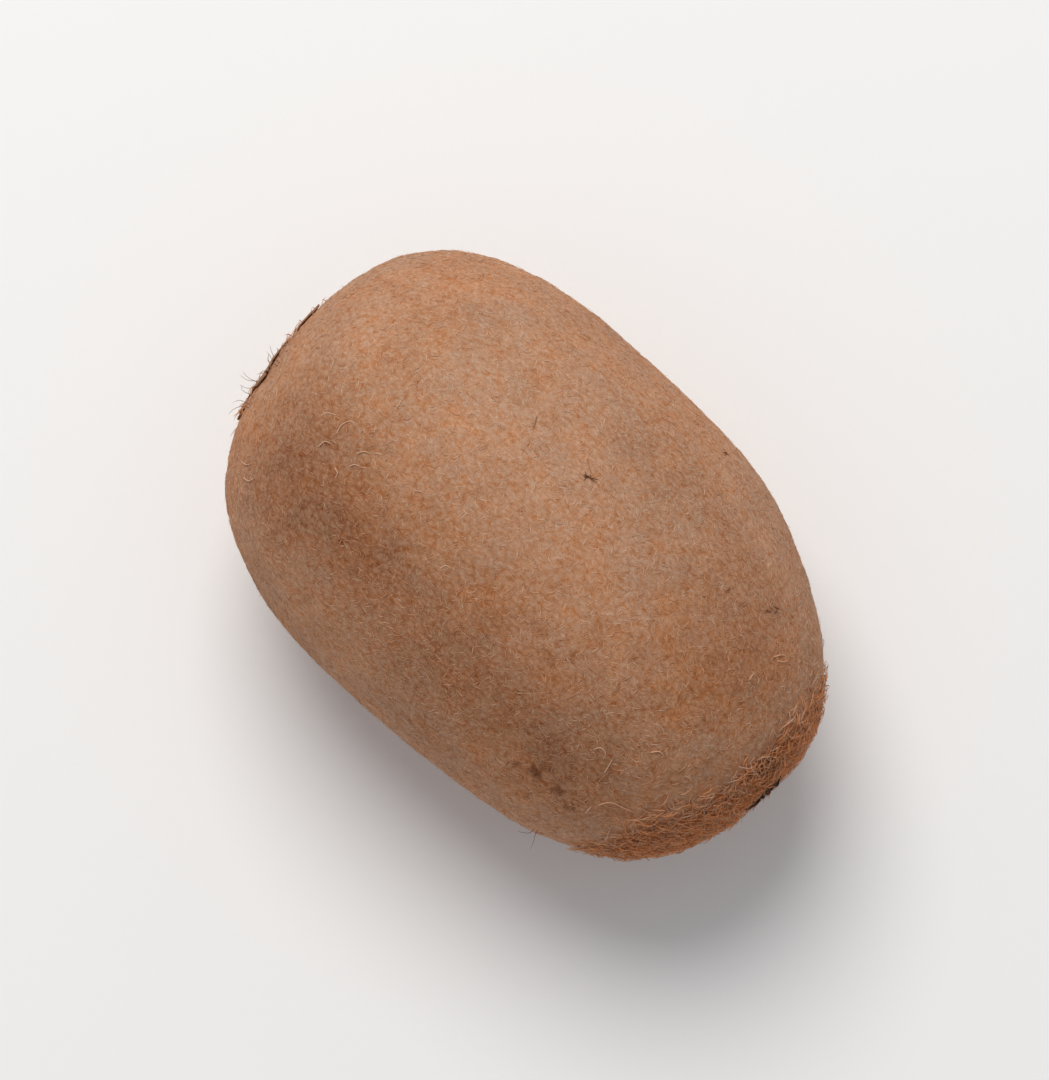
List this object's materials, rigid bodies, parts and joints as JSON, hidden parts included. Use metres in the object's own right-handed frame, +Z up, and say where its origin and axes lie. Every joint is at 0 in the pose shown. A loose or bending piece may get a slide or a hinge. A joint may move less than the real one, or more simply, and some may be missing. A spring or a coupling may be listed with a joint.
{
  "type": "kiwi fruit",
  "caption": "Whole ripe kiwi fruit lying on its side: oval hairy brown berry with a dried sepal calyx at the stem end and a tuft of dried styles at the blossom end.",
  "frame": {"origin": "middle of the whole fruit's footprint, on the plane of the small flat spot that it rests on", "axes": "+X along the fruit from its stem end to its blossom end, +Y across its wider diameter, +Z up from the resting spot"},
  "size_m": [0.071, 0.0474, 0.0441],
  "materials": {
    "hairy_skin": "matte",
    "dried_sepals": "matte",
    "dried_styles": "satin"
  },
  "bodies": {
    "root": {"fruit": "hairy_skin", "dried_calyx": "dried_sepals", "dried_styles": "dried_styles"}
  },
  "joints": []
}
